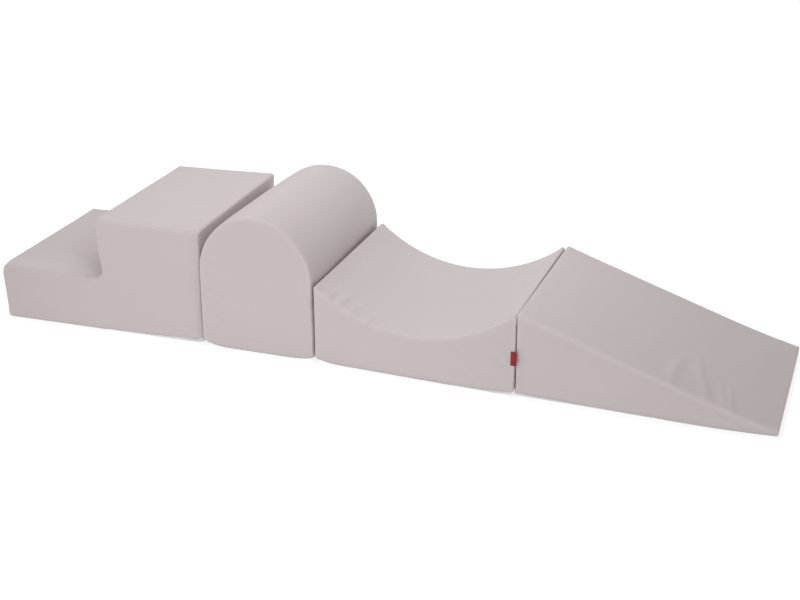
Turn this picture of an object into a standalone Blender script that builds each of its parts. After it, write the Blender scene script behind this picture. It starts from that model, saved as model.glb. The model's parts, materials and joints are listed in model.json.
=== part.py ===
"""A soft play set: four foam blocks that stand in a row.

From left to right they are a step block, an arch block, a valley block with a
hollowed top, and a ramp. Each block is a firm foam core in a sewn cover of
four panels, closed by a zip low on its back.

Metres, +Z up. The front of the set is -Y. Each block is made with the front
left corner of its footprint at its own origin, and the whole set has its origin
at the middle of its footprint, on the floor.
"""
import math
from types import SimpleNamespace

import bmesh
import bpy
from mathutils import Matrix, Vector
from mathutils.geometry import intersect_point_line

# Sizes that the four blocks share
DEPTH = 0.48
COVER_THICKNESS = 0.0012
CLEARANCE = 0.0003
EDGE_ROUND = 0.004
FOOT_ROUND = 0.011
ARRIS_SEGMENTS = 2
ROUND_STEP = math.radians(32)

# The step block
STEP_LENGTH = 0.59
STEP_TREAD = 0.295
STEP_RISE = 0.146
STEP_HEIGHT = 0.304
STEP_EDGE_ROUND = 0.008
STEP_CORNER_ROUND = 0.012
STEP_CREASE_ROUND = 0.014

# The arch block, a half circle on straight sides
ARCH_LENGTH = 0.305
ARCH_HEIGHT = 0.36
ARCH_SIDES = 16

# The height, before rounding, where the valley block and the ramp meet
JOIN_HEIGHT = 0.2095

# The valley block, hollowed by a round trough
VALLEY_LENGTH = 0.515
VALLEY_FLOOR = 0.111
VALLEY_SIDES = 12
LIP_ROUND = 0.0045

# The ramp
RAMP_LENGTH = 0.61
RAMP_TIP = 0.012
RAMP_ROUND = 0.005
TIP_ROUND_SHARE = 0.42

# How the blocks stand: gaps at the front, small turns and set-backs by hand
STEP_TO_ARCH = 0.0025
ARCH_TO_VALLEY = 0.0072
VALLEY_TO_RAMP = 0.0017
STEP_TURN = math.radians(2.47)
ARCH_TURN = math.radians(0.99)
RAMP_TURN = math.radians(-1.21)
STEP_SETBACK = -0.0134
ARCH_SETBACK = -0.0006
RAMP_SETBACK = 0.0021

# The foam fills its cover, so each face swells a little between its seams
TOP_CROWN = 0.004
SIDE_CROWN = 0.003
END_CROWN = 0.002
CROWN_REACH = 0.1

# The cuts that let a face swell: one near each edge, the rest evenly between
EDGE_CUT = 0.06
CUT_SPACING = 0.16

# The zip in the back panel
ZIP_HEIGHT = 0.02
ZIP_MARGIN = 0.05
ZIP_HEADROOM = 0.05
SLOT_WIDTH = 0.007
COIL_WIDTH = 0.003
COIL_HEIGHT = 0.0014
COIL_SIDES = 6

# The slider that runs on the zip, and its pull
SLIDER_LENGTH = 0.010
SLIDER_WIDTH = 0.008
SLIDER_PLATE = 0.0012
SLIDER_NOSE_SHARE = 0.7
SLIDER_PARK = 0.004
BRIDGE_LENGTH = 0.0068
BRIDGE_WIDTH = 0.002
BRIDGE_WIRE = 0.001
EYE_HEIGHT = 0.0023
PULL_THICKNESS = 0.0013
PULL_ARM = 0.0012
PULL_LENGTH = 0.026
PULL_WIDTH = 0.0066
PULL_END_SIDES = 6
EYE_PLAY = 0.00035
EYE_REACH = 0.0046

# The folded ribbon label in the valley block's front right seam
LABEL_HEIGHT = 0.034
LABEL_REACH = 0.015
LABEL_THICKNESS = 0.0009
LABEL_LOW = 0.0757
LABEL_SIDES = 4

# Merge distance for cuts, and the panel numbers kept in the material index
MERGE = 0.0001
FRONT, BACK, BAND, BASE, SLOT = range(5)

# A face within the first angle of straight down is the flat base, and a front
# or back face that leans down by the second angle or more is part of the base
BASE_ANGLE = math.radians(8)
UNDER_ANGLE = math.radians(12)


def clear_objects():
    """Remove every object that the file already holds."""
    for item in list(bpy.data.objects):
        bpy.data.objects.remove(item, do_unlink=True)


def finish(name, colour, roughness, metallic=0.0):
    """Return a plain Principled material."""
    material = bpy.data.materials.new(name)
    material.use_nodes = True
    shader = material.node_tree.nodes["Principled BSDF"]
    shader.inputs["Base Color"].default_value = (*colour, 1.0)
    shader.inputs["Roughness"].default_value = roughness
    shader.inputs["Metallic"].default_value = metallic
    material.diffuse_color = (*colour, 1.0)
    return material


def add_object(name, mesh_data, material, parent, location=(0, 0, 0)):
    """Turn a bmesh into a named object that hangs under its parent."""
    mesh = bpy.data.meshes.new(name)
    for face in mesh_data.faces:
        face.material_index = 0
    mesh_data.to_mesh(mesh)
    mesh_data.free()
    mesh.materials.append(material)
    item = bpy.data.objects.new(name, mesh)
    bpy.context.collection.objects.link(item)
    item.parent = parent
    item.location = location
    return item


def add_empty(name, parent, location=(0, 0, 0), turn=0.0):
    """Add an empty that carries other pieces."""
    item = bpy.data.objects.new(name, None)
    bpy.context.collection.objects.link(item)
    item.parent = parent
    item.location = location
    item.rotation_euler = (0, 0, turn)
    return item


def extruded(points, travel):
    """Return a closed solid: a flat outline pushed along a vector."""
    solid = bmesh.new()
    outline = solid.faces.new([solid.verts.new(point) for point in points])
    pushed = bmesh.ops.extrude_face_region(solid, geom=[outline], use_keep_orig=True)
    moved = [part for part in pushed["geom"] if isinstance(part, bmesh.types.BMVert)]
    bmesh.ops.translate(solid, verts=moved, vec=travel)
    bmesh.ops.recalc_face_normals(solid, faces=solid.faces)
    return solid


def rounded(corners):
    """Return an outline in which each (x, z, radius) corner is a round.

    The corners run anticlockwise as the front shows them.
    """
    points = []
    for index, (x, z, radius) in enumerate(corners):
        corner = Vector((x, z))
        if radius == 0:
            points.append(corner)
            continue
        following = corners[(index + 1) % len(corners)]
        back = (Vector(corners[index - 1][:2]) - corner).normalized()
        ahead = (Vector(following[:2]) - corner).normalized()
        half = back.angle(ahead) / 2
        centre = corner + (back + ahead).normalized() * (radius / math.sin(half))
        arm = corner + back * (radius / math.tan(half)) - centre
        turn = math.copysign(math.pi - 2 * half, -back.cross(ahead))
        steps = max(2, round(abs(turn) / ROUND_STEP))
        for step in range(steps + 1):
            points.append(centre + Matrix.Rotation(turn * step / steps, 2) @ arm)
    return points


def arc(centre_x, centre_z, radius, start, end, sides):
    """Return square corners along an arc, for rounded()."""
    angles = [start + (end - start) * side / sides for side in range(sides + 1)]
    return [(centre_x + radius * math.cos(angle), centre_z + radius * math.sin(angle), 0)
            for angle in angles]


def step_block():
    """The step block: two treads and one riser, with softly rounded edges."""
    corners = [
        (0, 0, FOOT_ROUND),
        (STEP_LENGTH, 0, FOOT_ROUND),
        (STEP_LENGTH, STEP_HEIGHT, STEP_CORNER_ROUND),
        (STEP_TREAD, STEP_HEIGHT, STEP_CORNER_ROUND),
        (STEP_TREAD, STEP_RISE, STEP_CREASE_ROUND),
        (0, STEP_RISE, STEP_CORNER_ROUND),
    ]
    return SimpleNamespace(
        name="step", length=STEP_LENGTH, height=STEP_HEIGHT, zip_end=STEP_LENGTH - ZIP_MARGIN,
        outline=rounded(corners), corners=[Vector(corner[:2]) for corner in corners],
        edge_round=STEP_EDGE_ROUND)


def arch_block():
    """The arch block: straight sides that end in a half circle."""
    radius = ARCH_LENGTH / 2
    feet = [(0, 0, FOOT_ROUND), (ARCH_LENGTH, 0, FOOT_ROUND)]
    top = arc(radius, ARCH_HEIGHT - radius, radius, 0, math.pi, ARCH_SIDES)
    return SimpleNamespace(
        name="arch", length=ARCH_LENGTH, height=ARCH_HEIGHT, zip_end=ARCH_LENGTH - ZIP_MARGIN,
        outline=rounded(feet + top), corners=[Vector(foot[:2]) for foot in feet],
        edge_round=EDGE_ROUND)


def valley_block():
    """The valley block: a trough between two sharp lips."""
    drop = JOIN_HEIGHT - VALLEY_FLOOR
    radius = ((VALLEY_LENGTH / 2) ** 2 + drop ** 2) / (2 * drop)
    half = math.asin(VALLEY_LENGTH / 2 / radius)
    down = -math.pi / 2
    trough = arc(VALLEY_LENGTH / 2, VALLEY_FLOOR + radius, radius,
                 down + half, down - half, VALLEY_SIDES)
    sharp = [
        (0, 0, FOOT_ROUND),
        (VALLEY_LENGTH, 0, FOOT_ROUND),
        (VALLEY_LENGTH, JOIN_HEIGHT, LIP_ROUND),
        (0, JOIN_HEIGHT, LIP_ROUND),
    ]
    corners = sharp[:3] + trough[1:-1] + sharp[3:]
    return SimpleNamespace(
        name="valley", length=VALLEY_LENGTH, height=JOIN_HEIGHT,
        zip_end=VALLEY_LENGTH - ZIP_MARGIN,
        outline=rounded(corners), corners=[Vector(corner[:2]) for corner in sharp],
        edge_round=EDGE_ROUND)


def ramp_block():
    """The ramp: a wedge that runs down to a thin tip."""
    tip_round = min(RAMP_ROUND, RAMP_TIP * TIP_ROUND_SHARE)
    corners = [
        (0, 0, FOOT_ROUND),
        (RAMP_LENGTH, 0, tip_round),
        (RAMP_LENGTH, RAMP_TIP, tip_round),
        (0, JOIN_HEIGHT, RAMP_ROUND),
    ]
    zip_room = JOIN_HEIGHT - ZIP_HEIGHT - ZIP_HEADROOM
    return SimpleNamespace(
        name="ramp", length=RAMP_LENGTH, height=JOIN_HEIGHT,
        zip_end=RAMP_LENGTH * zip_room / (JOIN_HEIGHT - RAMP_TIP),
        outline=rounded(corners), corners=[Vector(corner[:2]) for corner in corners],
        edge_round=min(EDGE_ROUND, tip_round))


def panel_number(normal):
    """Return the panel that a face of the square-edged block belongs to."""
    if abs(normal.y) > abs(normal.x) + abs(normal.z):
        return FRONT if normal.y < 0 else BACK
    return BASE if normal.z < -math.cos(BASE_ANGLE) else BAND


def cut(skin, point, normal, panel=None):
    """Cut new edges where a plane meets the skin, or one of its panels."""
    faces = [face for face in skin.faces if panel is None or face.material_index == panel]
    edges = {edge for face in faces for edge in face.edges}
    verts = {vert for face in faces for vert in face.verts}
    bmesh.ops.bisect_plane(skin, geom=faces + list(edges) + list(verts), dist=MERGE,
                           plane_co=point, plane_no=normal)


def cut_places(size):
    """Return where to cut a length: near both ends and evenly between."""
    middle = size - 2 * EDGE_CUT
    if middle <= EDGE_CUT:
        return [size / 2]
    count = max(1, math.ceil(middle / CUT_SPACING))
    return [EDGE_CUT + middle * index / count for index in range(count + 1)]


def cut_zip_slot(skin, block):
    """Mark the slot in the back panel that the zip shows through."""
    low = ZIP_HEIGHT - SLOT_WIDTH / 2
    high = ZIP_HEIGHT + SLOT_WIDTH / 2
    for place in (low, high):
        cut(skin, (0, 0, place), (0, 0, 1), BACK)
    for place in (ZIP_MARGIN, block.zip_end):
        cut(skin, (place, 0, 0), (1, 0, 0), BACK)
    for face in skin.faces:
        middle = face.calc_center_median()
        inside = low < middle.z < high and ZIP_MARGIN < middle.x < block.zip_end
        if face.material_index == BACK and inside:
            face.material_index = SLOT


def distance_to_run(point, start, end):
    """Return how far a point lies from a straight run of the outline."""
    nearest, share = intersect_point_line(point, start, end)
    if share < 0:
        nearest = start
    if share > 1:
        nearest = end
    return (point - nearest).length


def swell(block, vert):
    """Return how far the full cover pushes this point of the skin outwards."""
    place = Vector((vert.co.x, vert.co.z))
    runs = zip(block.outline, block.outline[1:] + block.outline[:1])
    from_outline = min(distance_to_run(place, start, end) for start, end in runs)
    from_corner = min((place - corner).length for corner in block.corners)
    from_arris = min(vert.co.y, DEPTH - vert.co.y)
    if vert.co.y > DEPTH / 2:
        above_zip = vert.co.z - ZIP_HEIGHT - SLOT_WIDTH
        from_outline = min(from_outline, max(0, above_zip))
    reach = min(1, max(min(from_arris, from_corner), from_outline) / CROWN_REACH)
    smooth = reach * reach * (3 - 2 * reach)
    normal = vert.normal
    crown = END_CROWN * normal.x ** 2 + SIDE_CROWN * normal.y ** 2
    crown += TOP_CROWN * max(normal.z, 0) ** 2
    return normal * (crown * smooth)


def block_skin(block):
    """Return the outer skin of a full block, with its panels numbered."""
    skin = extruded([(point.x, 0, point.y) for point in block.outline], (0, DEPTH, 0))
    for face in skin.faces:
        face.material_index = panel_number(face.normal)
    flats = (FRONT, BACK)
    arris = [edge for edge in skin.edges
             if any(face.material_index in flats for face in edge.link_faces)]
    bmesh.ops.bevel(skin, geom=arris, offset=block.edge_round, offset_type="OFFSET",
                    segments=ARRIS_SEGMENTS, profile=0.5, affect="EDGES", material=-1)
    for face in skin.faces:
        if face.material_index in flats and face.normal.z < -math.sin(UNDER_ANGLE):
            face.material_index = BASE
    for place in cut_places(block.length):
        cut(skin, (place, 0, 0), (1, 0, 0))
    for place in cut_places(DEPTH):
        cut(skin, (0, place, 0), (0, 1, 0))
    for place in cut_places(block.height):
        cut(skin, (0, 0, place), (0, 0, 1))
    cut_zip_slot(skin, block)
    bmesh.ops.triangulate(skin, faces=skin.faces)
    skin.normal_update()
    shifts = [swell(block, vert) for vert in skin.verts]
    for vert, shift in zip(skin.verts, shifts):
        vert.co += shift
    skin.normal_update()
    inward = skin.verts.layers.float_vector.new("inward")
    for vert in skin.verts:
        vert[inward] = -vert.normal * vert.calc_shell_factor()
    return skin


def trim_rim(sheet, distance):
    """Pull an open sheet's edge back along the sheet, to leave a seam gap."""
    shifts = []
    for vert in sheet.verts:
        inward = []
        for edge in vert.link_edges:
            if edge.is_boundary:
                face = edge.link_faces[0]
                along = edge.verts[1].co - edge.verts[0].co
                across = face.normal.cross(along).normalized()
                if across.dot(face.calc_center_median() - edge.verts[0].co) < 0:
                    across.negate()
                inward.append(across)
        if len(inward) == 2:
            first, second = inward
            shifts.append((vert, (first + second) * (distance / (1 + first.dot(second)))))
    for vert, shift in shifts:
        vert.co += shift


def sewn_panel(skin, number):
    """Return one panel of the cover, cut from the skin and thickened inwards."""
    sheet = skin.copy()
    others = [face for face in sheet.faces if face.material_index != number]
    bmesh.ops.delete(sheet, geom=others, context="FACES")
    trim_rim(sheet, CLEARANCE / 2)
    inward = sheet.verts.layers.float_vector["inward"]
    lining = bmesh.ops.extrude_face_region(sheet, geom=sheet.faces[:], use_keep_orig=True)
    for part in lining["geom"]:
        if isinstance(part, bmesh.types.BMVert):
            part.co += part[inward] * COVER_THICKNESS
    bmesh.ops.recalc_face_normals(sheet, faces=sheet.faces)
    return sheet


def foam_core(skin):
    """Return the foam: the skin moved in by the cover and a clearance."""
    core = skin.copy()
    inward = core.verts.layers.float_vector["inward"]
    for vert in core.verts:
        vert.co += vert[inward] * (COVER_THICKNESS + CLEARANCE)
    core.normal_update()
    return core


def zip_chain(block):
    """Return the zip's tape, which fills the slot, with its raised coil."""
    half_tape = (SLOT_WIDTH - CLEARANCE) / 2
    half_coil = COIL_WIDTH / 2
    section = [(-COVER_THICKNESS, -half_tape), (0, -half_tape)]
    for side in range(COIL_SIDES + 1):
        angle = math.pi * side / COIL_SIDES
        section.append((COIL_HEIGHT * math.sin(angle), -half_coil * math.cos(angle)))
    section += [(0, half_tape), (-COVER_THICKNESS, half_tape)]
    start = ZIP_MARGIN + CLEARANCE / 2
    points = [(start, DEPTH + out, ZIP_HEIGHT + up) for out, up in section]
    return extruded(points, (block.zip_end - ZIP_MARGIN - CLEARANCE, 0, 0))


def slider_top():
    """Return how far the slider's plate stands out from the zip."""
    return COIL_HEIGHT + CLEARANCE + SLIDER_PLATE


def pull_axis():
    """Return how far the pull's hinge axis stands out from the zip."""
    return slider_top() + EYE_HEIGHT / 2


def slider_body():
    """Return the slider's plate and cheeks, a channel that rides on the coil."""
    channel = COIL_WIDTH / 2 + CLEARANCE
    roof = COIL_HEIGHT + CLEARANCE
    cheek = SLIDER_WIDTH / 2
    section = [
        (CLEARANCE, -cheek), (slider_top(), -cheek), (slider_top(), cheek), (CLEARANCE, cheek),
        (CLEARANCE, channel), (roof, channel), (roof, -channel), (CLEARANCE, -channel),
    ]
    start = -SLIDER_LENGTH / 2
    body = extruded([(start, out, up) for out, up in section], (SLIDER_LENGTH, 0, 0))
    for vert in body.verts:
        if vert.co.x < 0 and abs(vert.co.z) > channel + MERGE:
            vert.co.z *= SLIDER_NOSE_SHARE
    return body


def slider_bridge():
    """Return the low arch on the slider that holds the pull."""
    foot = slider_top() - SLIDER_PLATE / 2
    top = slider_top() + EYE_HEIGHT + BRIDGE_WIRE
    outer = BRIDGE_LENGTH / 2
    inner = outer - BRIDGE_WIRE
    side = [
        (-outer, foot), (outer, foot), (outer, top), (-outer, top),
    ]
    eye = [
        (-inner, slider_top()), (inner, slider_top()),
        (inner, top - BRIDGE_WIRE), (-inner, top - BRIDGE_WIRE),
    ]
    arch = extruded([(x, y, -BRIDGE_WIDTH / 2) for x, y in side], (0, 0, BRIDGE_WIDTH))
    hole = extruded([(x, y, -BRIDGE_WIDTH) for x, y in eye], (0, 0, 2 * BRIDGE_WIDTH))
    return arch, hole


def boolean(item, tool, operation):
    """Join or cut an object with a tool object, which stays hidden."""
    tool.hide_render = True
    tool.display_type = "WIRE"
    modifier = item.modifiers.new(tool.name, "BOOLEAN")
    modifier.operation = operation
    modifier.solver = "EXACT"
    modifier.object = tool


def add_slider(block, parent, metal):
    """Add the zip slider at the closed end of its chain."""
    park = block.zip_end - SLIDER_PARK - SLIDER_LENGTH / 2
    seat = (park, DEPTH, ZIP_HEIGHT)
    name = block.name + "_zip_slider"
    slider = add_object(name, slider_body(), metal, parent, seat)
    arch, hole = slider_bridge()
    boolean(slider, add_object(name + "_bridge", arch, metal, slider), "UNION")
    boolean(slider, add_object(name + "_eye", hole, metal, slider), "DIFFERENCE")
    return slider


def add_pull(block, slider, metal):
    """Add the pull, whose cross bar turns inside the slider's bridge."""
    bar = PULL_THICKNESS / 2
    inner = BRIDGE_WIDTH / 2 + EYE_PLAY
    neck = inner + PULL_ARM
    half = PULL_WIDTH / 2
    end_centre = PULL_LENGTH - half
    plan = [(-bar, neck), (-bar, -neck), (EYE_REACH, -neck)]
    for side in range(PULL_END_SIDES + 1):
        angle = math.pi * side / PULL_END_SIDES - math.pi / 2
        plan.append((end_centre + half * math.cos(angle), half * math.sin(angle)))
    plan.append((EYE_REACH, neck))
    pull_mesh = extruded([(x, -bar, z) for x, z in plan], (0, PULL_THICKNESS, 0))
    eye = [(bar, -inner), (EYE_REACH, -inner), (EYE_REACH, inner), (bar, inner)]
    eye_mesh = extruded([(x, -PULL_THICKNESS, z) for x, z in eye], (0, 2 * PULL_THICKNESS, 0))
    name = block.name + "_zip_pull"
    pull = add_object(name, pull_mesh, metal, slider, (0, pull_axis(), 0))
    boolean(pull, add_object(name + "_eye", eye_mesh, metal, pull), "DIFFERENCE")


def add_label(block, parent, ribbon):
    """Add the ribbon label: folded at its free end, sewn at the other."""
    local_crown = SIDE_CROWN * LABEL_REACH / EDGE_CUT
    inner = -CLEARANCE - local_crown
    outer = inner - LABEL_THICKNESS
    radius = LABEL_THICKNESS / 2
    seam = block.length - block.edge_round
    fold = seam - LABEL_REACH + radius
    section = [(seam, outer), (seam, inner)]
    for side in range(LABEL_SIDES + 1):
        angle = math.pi / 2 + math.pi * side / LABEL_SIDES
        section.append((fold + radius * math.cos(angle), outer + radius + radius * math.sin(angle)))
    points = [(x, y, LABEL_LOW) for x, y in section]
    label_mesh = extruded(points, (0, 0, LABEL_HEIGHT))
    add_object(block.name + "_label", label_mesh, ribbon, parent)


def add_block(block, parent, finishes):
    """Add all the pieces of one block under its own empty."""
    skin = block_skin(block)
    name = block.name
    add_object(name + "_foam_core", foam_core(skin), finishes.foam, parent)
    add_object(name + "_front_panel", sewn_panel(skin, FRONT), finishes.leatherette, parent)
    add_object(name + "_back_panel", sewn_panel(skin, BACK), finishes.leatherette, parent)
    add_object(name + "_top_band", sewn_panel(skin, BAND), finishes.leatherette, parent)
    add_object(name + "_base_panel", sewn_panel(skin, BASE), finishes.base_fabric, parent)
    skin.free()
    add_object(name + "_zip_chain", zip_chain(block), finishes.zip_tape, parent)
    slider = add_slider(block, parent, finishes.zip_metal)
    add_pull(block, slider, finishes.zip_metal)


def placements():
    """Return where each block stands: front left corner and turn.

    The valley block is square to the set, and the others are placed from it.
    """
    arch_x = -ARCH_TO_VALLEY - ARCH_LENGTH * math.cos(ARCH_TURN)
    step_x = arch_x - STEP_TO_ARCH - STEP_LENGTH * math.cos(STEP_TURN)
    ramp_x = VALLEY_LENGTH + VALLEY_TO_RAMP
    return {
        "step": (step_x, STEP_SETBACK, STEP_TURN),
        "arch": (arch_x, ARCH_SETBACK, ARCH_TURN),
        "valley": (0.0, 0.0, 0.0),
        "ramp": (ramp_x, RAMP_SETBACK, RAMP_TURN),
    }


def footprint_middle(blocks, places):
    """Return the middle of the box round all the blocks' footprints."""
    spots = []
    for block in blocks:
        x, y, turn = places[block.name]
        for across in (0, block.length):
            for deep in (0, DEPTH):
                spots.append(Vector((x, y)) + Matrix.Rotation(turn, 2) @ Vector((across, deep)))
    lows = [min(spot[axis] for spot in spots) for axis in (0, 1)]
    highs = [max(spot[axis] for spot in spots) for axis in (0, 1)]
    return (lows[0] + highs[0]) / 2, (lows[1] + highs[1]) / 2


def main():
    """Build the whole set."""
    clear_objects()
    finishes = SimpleNamespace(
        leatherette=finish("leatherette", (0.56, 0.51, 0.51), 0.5),
        foam=finish("foam", (0.80, 0.77, 0.66), 0.95),
        base_fabric=finish("base_fabric", (0.74, 0.75, 0.76), 0.85),
        zip_tape=finish("zip_tape", (0.46, 0.42, 0.41), 0.8),
        zip_metal=finish("zip_metal", (0.60, 0.59, 0.58), 0.35, 1.0),
        ribbon=finish("ribbon", (0.42, 0.02, 0.03), 0.7),
    )
    blocks = [step_block(), arch_block(), valley_block(), ramp_block()]
    places = placements()
    middle_x, middle_y = footprint_middle(blocks, places)
    for block in blocks:
        x, y, turn = places[block.name]
        stand = add_empty(block.name + "_stand", None, (x - middle_x, y - middle_y, 0), turn)
        add_block(block, stand, finishes)
        if block.name == "valley":
            add_label(block, stand, finishes.ribbon)


main()
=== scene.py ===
# %% [markdown]
# # A soft play set in leatherette and foam
# The real thing is four loose blocks in a row: a step block, an arch block, a
# valley block and a ramp. Each is a firm foam core in a sewn leatherette cover
# with a pale base fabric and a zip low on the back. The construction is loaded
# as a fixed frame, and this lesson dresses it, one piece after another.

# %% Load the frame
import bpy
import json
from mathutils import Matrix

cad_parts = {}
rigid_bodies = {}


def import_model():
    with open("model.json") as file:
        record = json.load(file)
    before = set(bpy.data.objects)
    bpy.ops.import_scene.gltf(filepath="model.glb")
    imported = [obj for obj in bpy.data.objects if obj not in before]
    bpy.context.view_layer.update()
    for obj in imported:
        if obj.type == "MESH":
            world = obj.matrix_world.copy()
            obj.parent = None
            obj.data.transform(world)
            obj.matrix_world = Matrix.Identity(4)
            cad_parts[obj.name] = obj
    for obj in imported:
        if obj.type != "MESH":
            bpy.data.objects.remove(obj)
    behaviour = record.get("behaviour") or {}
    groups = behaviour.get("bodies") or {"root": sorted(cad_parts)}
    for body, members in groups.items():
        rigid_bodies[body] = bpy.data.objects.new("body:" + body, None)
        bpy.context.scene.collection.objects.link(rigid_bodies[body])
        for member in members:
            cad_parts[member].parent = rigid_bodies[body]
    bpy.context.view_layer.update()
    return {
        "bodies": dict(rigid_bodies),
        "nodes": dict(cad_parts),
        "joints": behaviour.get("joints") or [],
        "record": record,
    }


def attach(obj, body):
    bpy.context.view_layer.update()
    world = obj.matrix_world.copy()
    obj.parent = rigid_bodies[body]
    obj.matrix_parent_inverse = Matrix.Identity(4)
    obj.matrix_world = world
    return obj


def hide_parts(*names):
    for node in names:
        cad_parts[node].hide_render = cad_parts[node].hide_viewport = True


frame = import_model()

# %% [markdown]
# ## Where the blocks stand
# Each block is modelled square, with the front left corner of its footprint at
# zero, because outlines are easiest to think about that way. The frame says
# where each block's base has its middle, and the direction of its zip gives
# the small turn that the block was set down with.

# %% Sizes and places
import json
import math
from types import SimpleNamespace

import bmesh
import bpy
import numpy as np
from mathutils import Matrix, Vector, noise

DEPTH = 0.48
STEP_LENGTH, STEP_TREAD, STEP_RISE, STEP_HEIGHT = 0.59, 0.295, 0.146, 0.304
ARCH_LENGTH, ARCH_HEIGHT = 0.305, 0.36
VALLEY_LENGTH, VALLEY_FLOOR = 0.515, 0.111
RAMP_LENGTH, RAMP_TIP = 0.61, 0.012
JOIN_HEIGHT = 0.2095

mounts = {mount["name"]: mount for mount in frame["record"]["mounts"]}
joints = {joint["name"]: joint for joint in frame["record"]["behaviour"]["joints"]}


def standing_place(name, length):
    """Return the matrix that carries a square block to where it stands."""
    middle = Vector(mounts[name + "_rest_face"]["pos_m"])
    opening_way = joints[name + "_zip_slide"]["axis"]
    turn = math.atan2(-opening_way[1], -opening_way[0])
    corner = Matrix.Translation((-length / 2, -DEPTH / 2, 0))
    return Matrix.Translation(middle) @ Matrix.Rotation(turn, 4, "Z") @ corner


lengths = {"step": STEP_LENGTH, "arch": ARCH_LENGTH, "valley": VALLEY_LENGTH,
           "ramp": RAMP_LENGTH}
places = {name: standing_place(name, length) for name, length in lengths.items()}
for name, matrix in places.items():
    print(name, "stands at", [round(v, 4) for v in matrix.translation])

# %% [markdown]
# ## The camera
# The photograph was taken with a fairly long lens from the right of the set's
# middle, looking down and a little to the left. The place was found by fitting
# the blocks' outlines, so it is given from the valley block's front left foot.

# %% Camera
CAMERA_FROM_VALLEY = Vector((1.1786, -2.6567, 1.4225))
CAMERA_YAW = math.radians(19.74)
CAMERA_PITCH = math.radians(23.38)
CAMERA_ROLL = math.radians(0.14)
PICTURE_WIDTH = 800
FOCAL_PIXELS = 1283
SENSOR_WIDTH = 36.0


def added_object(name, data):
    """Add an object to the scene."""
    item = bpy.data.objects.new(name, data)
    bpy.context.collection.objects.link(item)
    return item


camera_data = bpy.data.cameras.new("camera")
camera_data.sensor_width = SENSOR_WIDTH
camera_data.lens = FOCAL_PIXELS / PICTURE_WIDTH * SENSOR_WIDTH
camera = added_object("camera", camera_data)
camera.location = places["valley"].translation + CAMERA_FROM_VALLEY
aim = Matrix.Rotation(CAMERA_YAW, 4, "Z") @ Matrix.Rotation(math.pi / 2 - CAMERA_PITCH, 4, "X")
camera.rotation_euler = (aim @ Matrix.Rotation(CAMERA_ROLL, 4, "Z")).to_euler()
bpy.context.scene.camera = camera
print("camera lens in mm:", round(camera_data.lens, 1))

# %% [markdown]
# ## Writing shaders as expressions
# A material is a graph of nodes, but its maths reads best as plain sums. The
# first class wraps a socket, so that adding or multiplying values adds the Math
# nodes. The second is a material with one method that adds any other node.

# %% Shader helpers


class Value:
    """A number inside a shader, used like an ordinary number."""

    def __init__(self, finish, socket):
        self.finish = finish
        self.socket = socket

    def combined(self, operation, first, second):
        """Return the Math node's result for two values or numbers."""
        return self.finish.node("ShaderNodeMath", {"operation": operation},
                                {0: first, 1: second})

    def __add__(self, other):
        return self.combined("ADD", self, other)

    __radd__ = __add__

    def __sub__(self, other):
        return self.combined("SUBTRACT", self, other)

    def __rsub__(self, other):
        return self.combined("SUBTRACT", other, self)

    def __mul__(self, other):
        return self.combined("MULTIPLY", self, other)

    __rmul__ = __mul__


class Finish:
    """A procedural material for one of the set's surfaces."""

    def __init__(self, name, roughness, metallic=0.0):
        self.material = bpy.data.materials.new(name)
        self.material.use_nodes = True
        self.nodes = self.material.node_tree.nodes
        self.links = self.material.node_tree.links
        self.shader = self.nodes["Principled BSDF"]
        self.put("Roughness", roughness)
        self.put("Metallic", metallic)

    def feed(self, socket, value):
        """Link a value to a socket, or set the socket to a number or colour."""
        if isinstance(value, Value):
            self.links.new(value.socket, socket)
        else:
            socket.default_value = value

    def put(self, name, value):
        """Feed one of the surface's own sockets, such as its colour."""
        self.feed(self.shader.inputs[name], value)

    def node(self, kind, settings=None, sockets=None, output=0):
        """Add a node, set it up, feed its sockets and return one output."""
        added = self.nodes.new(kind)
        for setting, value in (settings or {}).items():
            setattr(added, setting, value)
        for socket, value in (sockets or {}).items():
            self.feed(added.inputs[socket], value)
        return Value(self, added.outputs[output])

    def place(self):
        """Return the point on the object, in metres."""
        return self.node("ShaderNodeTexCoord", output="Object")

    def cloud(self, scale, detail=2.0):
        """Return soft noise about 0.5, with blotches of about 1 / scale metres."""
        return self.node("ShaderNodeTexNoise", None,
                         {"Vector": self.place(), "Scale": scale, "Detail": detail})

    def blend(self, share, first, second):
        """Return a colour between two, by a share from 0 to 1."""
        return self.node("ShaderNodeMix", {"data_type": "RGBA"},
                         {0: share, 6: first, 7: second}, output=2)

    def bump(self, height, distance, strength=1.0):
        """Let a height raise the surface by up to a distance in metres."""
        raised = self.node("ShaderNodeBump", None,
                           {"Height": height, "Distance": distance, "Strength": strength})
        self.put("Normal", raised)


print("shader helpers are ready")
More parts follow.
